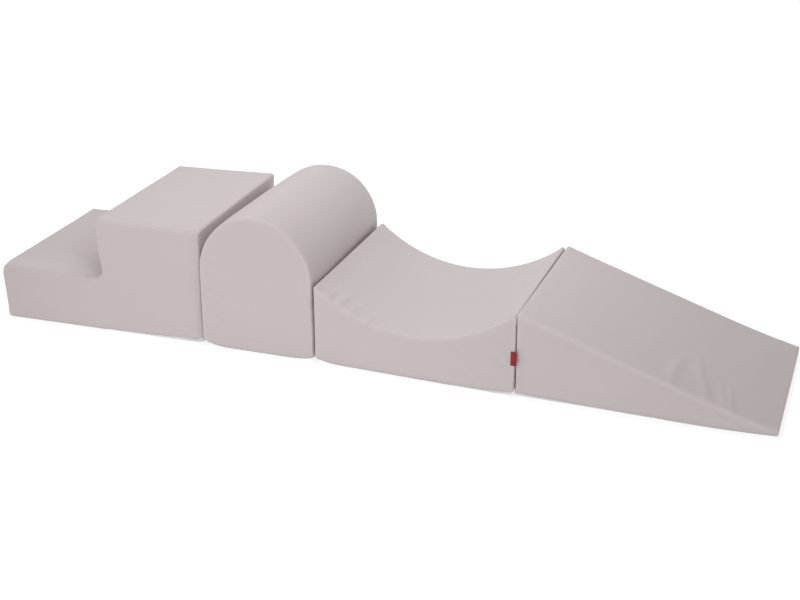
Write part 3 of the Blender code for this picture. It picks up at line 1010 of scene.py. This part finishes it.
def step_rub(at):
    """Return the step's rub and painted highlight: broad along the tread's front edge, faint at
    the seams.
    """
    x, y, z = at.points.T
    from_edge = np.hypot(y - TREAD_HIGHLIGHT_INSET, z - STEP_RISE)
    tread_edge_highlight = smooth((STEP_TREAD - x) / TREAD_FADE) * np.exp(-(from_edge / TREAD_HIGHLIGHT_REACH) ** 2)
    return evenly(STEP_SEAM_RUB_AND_HIGHLIGHT)(at) + TREAD_RUB_AND_HIGHLIGHT * tread_edge_highlight


def step_wear(at):
    """Return the step's painted shade: the riser's painted shadow on the tread, and painted shade
    on the front's left.
    """
    x, y, _ = at.points.T
    from_riser = np.abs(STEP_TREAD - x)
    on_tread = smooth((STEP_TREAD - x) / STEP_CREASE_ROUND) * on_top(at, 0.3, fade=0.5)
    behind = smooth((y - CREASE_SHADOW_SLANT * from_riser) / CREASE_SHADOW_START)
    near = 1 - smooth((from_riser - CREASE_SHADOW_FADE[0]) / CREASE_SHADOW_FADE[1])
    left_shaded = smooth((FRONT_SHADE_REACH - x) / FRONT_SHADE_REACH) * smooth(1 - y / FRONT_SHADE_DEPTH)
    return CREASE_PAINTED_SHADOW * near * behind * on_tread + FRONT_PAINTED_SHADE * left_shaded


def slacken(skin):
    """Crown the tread, and round the front's slack edges."""
    for vert in skin.verts:
        left = max(0.0, 1 - vert.co.x / STEP_TREAD)
        front = max(0.0, 1 - vert.co.y / DEPTH)
        high = clamped(vert.co.z / STEP_RISE)
        vert.co.z += TREAD_LIFT * left * front * high
    round_off(skin, (1, 2), (0, STEP_RISE + TREAD_LIFT / 2), (1, -1), TREAD_ROUND, tread_share)
    round_off(skin, (0, 1), (STEP_TREAD, 0), (1, 1), RISER_ROUND, riser_share)
    round_off(skin, (1, 2), (0, STEP_HEIGHT), (1, -1), TOP_FRONT_ROUND, lambda point: 1.0)
    round_off(skin, (0, 1), (STEP_LENGTH, 0), (-1, 1), STEP_SIDE_ROUND, step_side_share)


step = SimpleNamespace(
    name="step", corners=step_corners, length=STEP_LENGTH, height=STEP_HEIGHT,
    zip_end=STEP_LENGTH - ZIP_MARGIN, edge_round=STEP_EDGE_ROUND, shape=slacken,
    roll=((0.30, 0.004), (0.59, 0.014)), rub=step_rub, wear=step_wear,
    lifts=(0.0, 0.002),
    moved={(0, 0, 0): (13, -16, 0), (1, 0, 0): (4.5, -16, 0), (0, 0, 1): (-7, -3, 1),
           (1, 0, 1): (0, -3, 2), (0, 1, 1): (-6, 0, -4), (1, 1, 1): (7, 0, 8)},
    folds=[
        (BAND, [(0.285, 0.02), (0.22, 0.05), (0.18, 0.06)], 0.0009, 0.012),
        (FRONT, [(0.30, 0.14), (0.36, 0.10), (0.42, 0.08)], 0.0006, 0.012),
    ])
cover(step)

# %% [markdown]
# ## The arch block
# A tight cover over straight sides and a half circle. The only marks are faint
# drag lines, low on the front's left side, where the side seam pulls, and a
# faint painted shade on the right flank of the round top. The front's upright
# right edge is a little softer than the rest.

# %% Arch block
ARCH_SIDE_ROUND, ARCH_SIDE_FADE = (0.011, 0.011), 0.05
# Painted shade on the right flank of the round top.
FLANK_PAINTED_SHADE, FLANK_FROM, FLANK_TO, FLANK_FADE = 0.22, -0.1, 0.6, 0.3


def side_share(point):
    """Return how far a point is below the half circle, eased from 0 to 1."""
    return float(smooth((ARCH_HEIGHT - arch_radius - point.z) / ARCH_SIDE_FADE))


def arch_wear(at):
    """Return the arch's painted shade: on the right flank of its round top."""
    facing, front, _ = at.normals.T
    right_flank = smooth((facing - FLANK_FROM) / FLANK_FADE)
    right_flank *= 1 - smooth((facing - FLANK_TO) / FLANK_FADE)
    return FLANK_PAINTED_SHADE * right_flank * (1 - front ** 2)


def soften_side(skin):
    """Round the front's right upright edge."""
    round_off(skin, (0, 1), (ARCH_LENGTH, 0), (-1, 1), ARCH_SIDE_ROUND, side_share)


arch = SimpleNamespace(
    name="arch", corners=arch_feet + arch_top, length=ARCH_LENGTH, height=ARCH_HEIGHT,
    zip_end=ARCH_LENGTH - ZIP_MARGIN, edge_round=EDGE_ROUND, shape=soften_side,
    roll=((0.035, 0.003), (0.0, 0.011)), rub=evenly(SEAM_RUB_AND_HIGHLIGHT), wear=arch_wear,
    lifts=(0.013, 0.008),
    moved={(0, 0, 0): (0.5, -7.5, 0), (1, 0, 0): (3, -6, 0), (0, 0, 1): (-1, 0, 0),
           (1, 0, 1): (-2, 0, 0), (0, 1, 1): (6, 0, -4), (1, 1, 1): (2.5, 0, 0)},
    folds=[
        (FRONT, [(-0.01, 0.240), (0.044, 0.22), (0.11, 0.20)], 0.0022, 0.007),
        (FRONT, [(-0.01, 0.160), (0.049, 0.143), (0.13, 0.128)], 0.0028, 0.006),
        (FRONT, [(0.00, 0.095), (0.084, 0.065), (0.17, 0.05)], 0.0028, 0.007),
    ])
cover(arch)

# %% [markdown]
# ## The valley block
# The trough's cloth is drawn down at its front seam, and the thread leaves a row
# of small puckers, which run back from the seam on the steep left side. Painted
# light makes the whole hollow a little lighter.

# %% Valley block
# Painted light over the whole hollow.
HOLLOW_PAINTED_LIGHT = 0.35
PUCKER_SIDE = 0.006
VALLEY_PUCKERS = ((0.035, 0.07, 0.0020), (0.062, 0.09, 0.0024), (0.094, 0.07, 0.0020),
                  (0.138, 0.05, 0.0022), (0.176, 0.04, 0.0014))
valley_puckers = [
    (BAND, [(x, -0.01), (x + run / 16, run / 2), (x + run / 5, run)], rise, PUCKER_SIDE)
    for x, run, rise in VALLEY_PUCKERS]


def keep_shape(skin):
    """Leave a block's skin as it is."""


def valley_rub(at):
    """Return the valley's rub and painted highlight along the seams, and painted light over the
    hollow.
    """
    return evenly(SEAM_RUB_AND_HIGHLIGHT)(at) + HOLLOW_PAINTED_LIGHT * on_top(at)


valley = SimpleNamespace(
    name="valley", corners=valley_feet + valley_lips[:1] + trough[2:-2] + valley_lips[1:],
    length=VALLEY_LENGTH, height=JOIN_HEIGHT, zip_end=VALLEY_LENGTH - ZIP_MARGIN,
    edge_round=EDGE_ROUND, shape=keep_shape, roll=((0.36, 0.004), (0.515, 0.012)),
    rub=valley_rub, wear=no_painted_shade, lifts=(0.010, 0.003),
    moved={(0, 0, 0): (-1.5, -1, 0), (1, 0, 0): (2, -14, 0), (0, 0, 1): (-2, 0, 0),
           (1, 0, 1): (-1, 0, 0), (0, 1, 1): (-2.5, 0, 3), (1, 1, 1): (3, 0, 0)},
    folds=valley_puckers + [
        (FRONT, [(0.52, 0.078), (0.48, 0.062), (0.44, 0.055)], 0.0018, 0.007),
        (FRONT, [(0.52, 0.042), (0.47, 0.034), (0.42, 0.022)], 0.0018, 0.007),
    ])
cover(valley)

# %% [markdown]
# ## The ramp
# The wedge's thin tip curls off the floor by a few millimetres, its back edge
# has sagged a little, and curved folds rise from the front seam. Its seams are
# rubbed lighter, partly as painted highlight, and painted light makes the top
# of its high end lighter.

# %% Ramp
ZIP_HEADROOM = 0.05
TIP_CURL, TIP_CURL_START = 0.006, 0.42
TIP_SKEW = 0.003
BACK_SAG, SAG_START = 0.0006, 0.6
# The seams' lighter tone is part rub and part painted highlight; the high end's top has painted
# light.
RAMP_SEAM_RUB_AND_HIGHLIGHT, HEAD_PAINTED_LIGHT, HEAD_LIGHT_REACH = 1.0, 0.35, 0.36


def ramp_rub(at):
    """Return the ramp's rub and painted highlight along the seams, and painted light on its high
    end.
    """
    near = smooth((HEAD_LIGHT_REACH - at.points[:, 0]) / HEAD_LIGHT_REACH)
    return evenly(RAMP_SEAM_RUB_AND_HIGHLIGHT)(at) + HEAD_PAINTED_LIGHT * near * on_top(at)


def curl_tip(skin):
    """Bend the ramp's thin end up, and let its back edge sag."""
    for vert in skin.verts:
        share = max(0.0, (vert.co.x - TIP_CURL_START) / (RAMP_LENGTH - TIP_CURL_START))
        vert.co.z += TIP_CURL * share * share
        vert.co.x += TIP_SKEW * share * share * vert.co.y / DEPTH
        surface = JOIN_HEIGHT - (JOIN_HEIGHT - RAMP_TIP) * vert.co.x / RAMP_LENGTH
        upper = clamped(vert.co.z / surface * 2 - 1)
        sag = math.sin(math.pi * clamped(vert.co.x / RAMP_LENGTH))
        back = max(0.0, vert.co.y / DEPTH - SAG_START) / (1 - SAG_START)
        vert.co.z -= BACK_SAG * sag * back * back * upper


zip_room = JOIN_HEIGHT - ZIP_HEIGHT - ZIP_HEADROOM
ramp = SimpleNamespace(
    name="ramp", corners=ramp_corners, length=RAMP_LENGTH, height=JOIN_HEIGHT,
    zip_end=RAMP_LENGTH * zip_room / (JOIN_HEIGHT - RAMP_TIP), edge_round=EDGE_ROUND,
    shape=curl_tip, roll=((0.36, 0.003), (0.0, 0.009)), rub=ramp_rub, wear=no_painted_shade,
    lifts=(0.0, 0.0),
    moved={(0, 0, 0): (1, -8, 0), (1, 0, 0): (0, 1, 0), (0, 0, 1): (-3.5, 0, 0),
           (0, 1, 1): (-5, 0, 0)},
    folds=[
        (BAND, [(0.366, -0.02), (0.359, 0.05), (0.361, 0.11), (0.378, 0.18)], 0.0035, 0.011),
        (BAND, [(0.452, -0.02), (0.434, 0.05), (0.414, 0.11), (0.393, 0.23)], 0.0035, 0.011),
        (BAND, [(0.487, -0.02), (0.478, 0.047), (0.463, 0.10), (0.455, 0.15)], 0.0024, 0.006),
        (BAND, [(0.502, -0.02), (0.497, 0.04), (0.489, 0.09), (0.485, 0.14)], 0.0028, 0.006),
    ])
cover(ramp)

# %% [markdown]
# ## Zips
# The slot low on each back shows a strip of tape with a nylon coil on it. The
# coil's turns look like a row of small rounded bars, so one bar with bevelled
# edges is repeated along the zip. The slider and its pull ride on bodies of
# their own.

# %% Zip chain
CLEARANCE = 0.0003
COIL_WIDTH, COIL_HEIGHT, COIL_PITCH, COIL_BAR = 0.0030, 0.0014, 0.0017, 0.0011
COIL_ROUND = COIL_BAR / 4
TAPE_RISE = 0.0002


def zip_chain(block):
    """Add the tape that fills the slot, with its row of coil turns."""
    half = (SLOT_WIDTH - CLEARANCE) / 2
    start, length = ZIP_MARGIN + CLEARANCE / 2, block.zip_end - ZIP_MARGIN - CLEARANCE
    section = [(-COVER_THICKNESS, -half), (0, -half), (0, half), (-COVER_THICKNESS, half)]
    points = [(start, DEPTH + out, ZIP_HEIGHT + up) for out, up in section]
    tape = extruded(points, (length, 0, 0))
    add_piece(block, "zip_tape", tape, tape_material, "zip_chain")
    coil = bmesh.new()
    size = Matrix.Diagonal((COIL_BAR, COIL_HEIGHT - TAPE_RISE, COIL_WIDTH, 1))
    for index in range(int(length / COIL_PITCH)):
        middle = (start + (index + 0.5) * COIL_PITCH, DEPTH + COIL_HEIGHT / 2, ZIP_HEIGHT)
        bmesh.ops.create_cube(coil, size=1, matrix=Matrix.Translation(middle) @ size)
    round_edges(coil, coil.edges[:], COIL_ROUND, 1)
    add_piece(block, "zip_coil", coil, tape_material)


for block in (step, arch, valley, ramp):
    zip_chain(block)

# %% [markdown]
# The slider is a short channel that straddles the coil, narrower at its nose,
# with a low wire bridge. The pull is a flat tab whose eye goes round the bridge,
# so it starts as a small grid with its middle face taken out.

# %% Zip slider and pull
SLIDER_LENGTH, SLIDER_WIDTH, SLIDER_PLATE, SLIDER_PARK = 0.010, 0.008, 0.0012, 0.004
SLIDER_NOSE_SHARE = 0.7
BRIDGE_LENGTH, BRIDGE_WIDTH, BRIDGE_WIRE, EYE_HEIGHT = 0.0068, 0.002, 0.001, 0.0023
PULL_THICKNESS, PULL_ARM, PULL_LENGTH, PULL_WIDTH = 0.0013, 0.0012, 0.026, 0.0066
EYE_PLAY, EYE_REACH, EYE_CELLS = 0.00035, 0.0046, 3
PULL_OUTLINE = ((0.4, 1.0), (0.88, 1.0), (0.97, 0.8), (1.0, 0.4))
METAL_EDGE, SHARP_ANGLE = 0.00025, math.radians(30)
slider_top = COIL_HEIGHT + CLEARANCE + SLIDER_PLATE
pull_out = slider_top + EYE_HEIGHT / 2


def soften(shape):
    """Round every edge of a metal shape that is sharp, and return the shape."""
    sharp = [edge for edge in shape.edges if edge.calc_face_angle(0) > SHARP_ANGLE]
    round_edges(shape, sharp, METAL_EDGE, 2)
    return shape


def slider_channel():
    """Return the slider's plate and cheeks."""
    channel, roof, cheek = COIL_WIDTH / 2 + CLEARANCE, COIL_HEIGHT + CLEARANCE, SLIDER_WIDTH / 2
    section = [(CLEARANCE, -cheek), (slider_top, -cheek), (slider_top, cheek), (CLEARANCE, cheek),
               (CLEARANCE, channel), (roof, channel), (roof, -channel), (CLEARANCE, -channel)]
    body = extruded([(-SLIDER_LENGTH / 2, out, up) for out, up in section], (SLIDER_LENGTH, 0, 0))
    for vert in body.verts:
        if vert.co.x < 0 and abs(vert.co.z) > channel + METAL_EDGE:
            vert.co.z *= SLIDER_NOSE_SHARE
    return soften(body)


def slider_bridge():
    """Return the low bridge that holds the pull."""
    outer, top = BRIDGE_LENGTH / 2, slider_top + EYE_HEIGHT + BRIDGE_WIRE
    inner, under = outer - BRIDGE_WIRE, slider_top + EYE_HEIGHT
    foot = slider_top - METAL_EDGE
    side = [(-outer, foot), (-inner, foot), (-inner, under), (inner, under),
            (inner, foot), (outer, foot), (outer, top), (-outer, top)]
    return soften(extruded([(x, y, -BRIDGE_WIDTH / 2) for x, y in side], (0, 0, BRIDGE_WIDTH)))


def pull_tab():
    """Return the pull: an eye made from a grid, and a tab drawn out of it."""
    inner = BRIDGE_WIDTH / 2 + EYE_PLAY
    across = (-inner - PULL_ARM, -inner, inner, inner + PULL_ARM)
    along = (-PULL_THICKNESS / 2, PULL_THICKNESS / 2, EYE_REACH, EYE_REACH + PULL_ARM)
    tab = bmesh.new()
    bmesh.ops.create_grid(tab, x_segments=EYE_CELLS, y_segments=EYE_CELLS, size=EYE_CELLS / 2)
    middle = [face for face in tab.faces if face.calc_center_median().length < 0.5]
    bmesh.ops.delete(tab, geom=middle, context="FACES")
    for vert in tab.verts:
        column, row = [round(vert.co[axis] + EYE_CELLS / 2) for axis in (0, 1)]
        vert.co = (along[column], across[row], 0)
    wide = inner + PULL_ARM
    for reach, share in PULL_OUTLINE:
        far = max(vert.co.x for vert in tab.verts)
        rim = [edge for edge in tab.edges
               if all(vert.co.x > far - CLEARANCE for vert in edge.verts)]
        next_wide = PULL_WIDTH / 2 * share
        for vert in only_verts(bmesh.ops.extrude_edge_only(tab, edges=rim)):
            vert.co = (far + (PULL_LENGTH - far) * reach, vert.co.y / wide * next_wide, 0)
        wide = next_wide
    raised = bmesh.ops.extrude_face_region(tab, geom=tab.faces[:], use_keep_orig=True)
    bmesh.ops.translate(tab, verts=only_verts(raised), vec=(0, 0, PULL_THICKNESS))
    bmesh.ops.translate(tab, verts=tab.verts, vec=(0, 0, -PULL_THICKNESS / 2))
    bmesh.ops.rotate(tab, verts=tab.verts, cent=(0, 0, 0),
                     matrix=Matrix.Rotation(math.pi / 2, 3, "X"))
    bmesh.ops.recalc_face_normals(tab, faces=tab.faces)
    return soften(in_order(tab))


def zip_metal(block):
    """Add a block's slider, its bridge and its pull."""
    park = block.zip_end - SLIDER_PARK - SLIDER_LENGTH / 2
    seat = Vector((park, DEPTH, ZIP_HEIGHT))
    for part, shape, place, replaced, body in (
            ("zip_slider_metal", slider_channel(), seat, "zip_slider", "slider"),
            ("zip_bridge_metal", slider_bridge(), seat, None, "slider"),
            ("zip_pull_metal", pull_tab(), seat + Vector((0, pull_out, 0)), "zip_pull", "pull")):
        bmesh.ops.translate(shape, verts=shape.verts, vec=place)
        add_piece(block, part, shape, metal_material, replaced, body)


for block in (step, arch, valley, ramp):
    zip_metal(block)

# %% [markdown]
# ## The label
# A short loop of red ribbon is caught in the valley block's front right seam
# and lies folded over on the front, bare and matt. Its path leaves the seam,
# follows the rounded edge, runs flat and turns back.

# %% Label
LABEL_LOW, LABEL_HEIGHT, LABEL_REACH = 0.0805, 0.034, 0.0095
LABEL_PAST, LABEL_LEAN = 0.0045, 0.0008
INNER_INSET, OUTER_INSET = 0.008, 0.005
RIBBON_THICKNESS, RIBBON_LIFT, RIBBON_ROWS = 0.0003, 0.0006, 12
LOOP_RADIUS, LOOP_PARTS, EDGE_PARTS = 0.0006, 6, 5
LABEL_CROWN = SIDE_CROWN * 0.05


def label_path():
    """Return the ribbon's path from the seam and back, seen from above."""
    arm = EDGE_ROUND + RIBBON_LIFT
    path = []
    for part in range(EDGE_PARTS + 1):
        angle = -math.pi / 4 * (1 + part / EDGE_PARTS)
        path.append(Vector((VALLEY_LENGTH - EDGE_ROUND, EDGE_ROUND))
                    + Vector((math.cos(angle), math.sin(angle))) * arm)
    under_y = EDGE_ROUND - arm - LABEL_CROWN
    fold = Vector((VALLEY_LENGTH - LABEL_REACH, under_y))
    path += [Vector((VALLEY_LENGTH - INNER_INSET, under_y)), fold]
    for part in range(1, LOOP_PARTS + 1):
        angle = math.pi / 2 + math.pi * part / LOOP_PARTS
        path.append(fold + Vector((math.cos(angle), math.sin(angle) - 1)) * LOOP_RADIUS)
    outer_y = under_y - 2 * LOOP_RADIUS
    return path + [Vector((VALLEY_LENGTH - OUTER_INSET, outer_y)),
                   Vector((VALLEY_LENGTH + LABEL_PAST, outer_y - LABEL_LEAN))]


def ribbon_label():
    """Add the folded ribbon loop."""
    path = label_path()
    ribbon = bmesh.new()
    line = [ribbon.verts.new((point.x, point.y, LABEL_LOW)) for point in path]
    edges = [ribbon.edges.new(pair) for pair in zip(line, line[1:])]
    grown = bmesh.ops.extrude_edge_only(ribbon, edges=edges)
    bmesh.ops.translate(ribbon, verts=only_verts(grown), vec=(0, 0, LABEL_HEIGHT))
    bmesh.ops.subdivide_edges(ribbon, edges=long_edges(ribbon, 2, LABEL_HEIGHT / 2),
                              cuts=RIBBON_ROWS)
    bmesh.ops.recalc_face_normals(ribbon, faces=ribbon.faces)
    ribbon = in_order(ribbon)
    settle(ribbon, valley)
    item = add_piece(valley, "label_ribbon", ribbon, ribbon_material, "label")
    give_wall(item, RIBBON_THICKNESS, 0)
    length = sum((end - start).length for start, end in zip(path, path[1:]))
    print("ribbon cut to", LABEL_HEIGHT, "by", round(length, 4), "m")


ribbon_label()

# %% [markdown]
# ## Floor and light
# The photograph is a studio cut-out on pure white. A floor that glows a little
# stays white up to its horizon and sends soft light up under the blocks. A
# lamp over the far floor keeps that white too. Two soft lamps make the tones:
# a low one in front of the arch and a small one above it, so both ends of the
# row are a shade darker than its middle.

# %% Floor and light
FLOOR_SIZE = 30
FLOOR_DROP = 0.0003
FLOOR_GLOW = 0.62
FLOOR_TONE = 0.5
WORLD_GLOW = 0.6

floor_shape = bmesh.new()
bmesh.ops.create_grid(floor_shape, x_segments=1, y_segments=1, size=FLOOR_SIZE / 2)
bmesh.ops.translate(floor_shape, verts=floor_shape.verts, vec=(0, 0, -FLOOR_DROP))
floor_mesh = bpy.data.meshes.new("floor")
floor_shape.to_mesh(floor_mesh)
floor_shape.free()
floor = added_object("floor", floor_mesh)
floor_finish = Finish("pale_floor", 0.9)
floor_finish.put("Base Color", (FLOOR_TONE, FLOOR_TONE, FLOOR_TONE, 1))
floor_finish.put("Emission Color", (1, 1, 1, 1))
floor_finish.put("Emission Strength", FLOOR_GLOW)
floor_mesh.materials.append(floor_finish.material)

world = bpy.data.worlds.new("studio")
world.use_nodes = True
surround = world.node_tree.nodes["Background"]
surround.inputs["Color"].default_value = (1.0, 1.0, 1.0, 1)
surround.inputs["Strength"].default_value = WORLD_GLOW
bpy.context.scene.world = world


def soft_lamp(name, place, target, size, power, colour=(1, 1, 1), spread=180):
    """Add a rectangular lamp that faces a target, with its light spread over some degrees."""
    data = bpy.data.lights.new(name, "AREA")
    data.shape = "RECTANGLE"
    data.size, data.size_y = size
    data.energy = power
    data.color = colour
    data.spread = math.radians(spread)
    item = added_object(name, data)
    item.visible_camera = False
    item.location = place
    item.rotation_euler = (Vector(target) - Vector(place)).to_track_quat("-Z", "Y").to_euler()


soft_lamp("front_lamp", place=(-0.5, -2.2, 1.2), target=(-0.1, 0, 0.1), size=(1.5, 1.5),
          power=4.6, spread=90)
soft_lamp("top_lamp", place=(-0.22, 0.15, 1.8), target=(-0.22, 0.15, 0), size=(1.6, 0.9),
          power=13.7, colour=(0.95, 0.985, 1.0))
soft_lamp("far_lamp", place=(-1.0, 4.5, 2.5), target=(-1.0, 4.5, 0), size=(7.5, 3.5), power=50)
bpy.context.scene.view_settings.view_transform = "Standard"
print("floor and lamps are set")
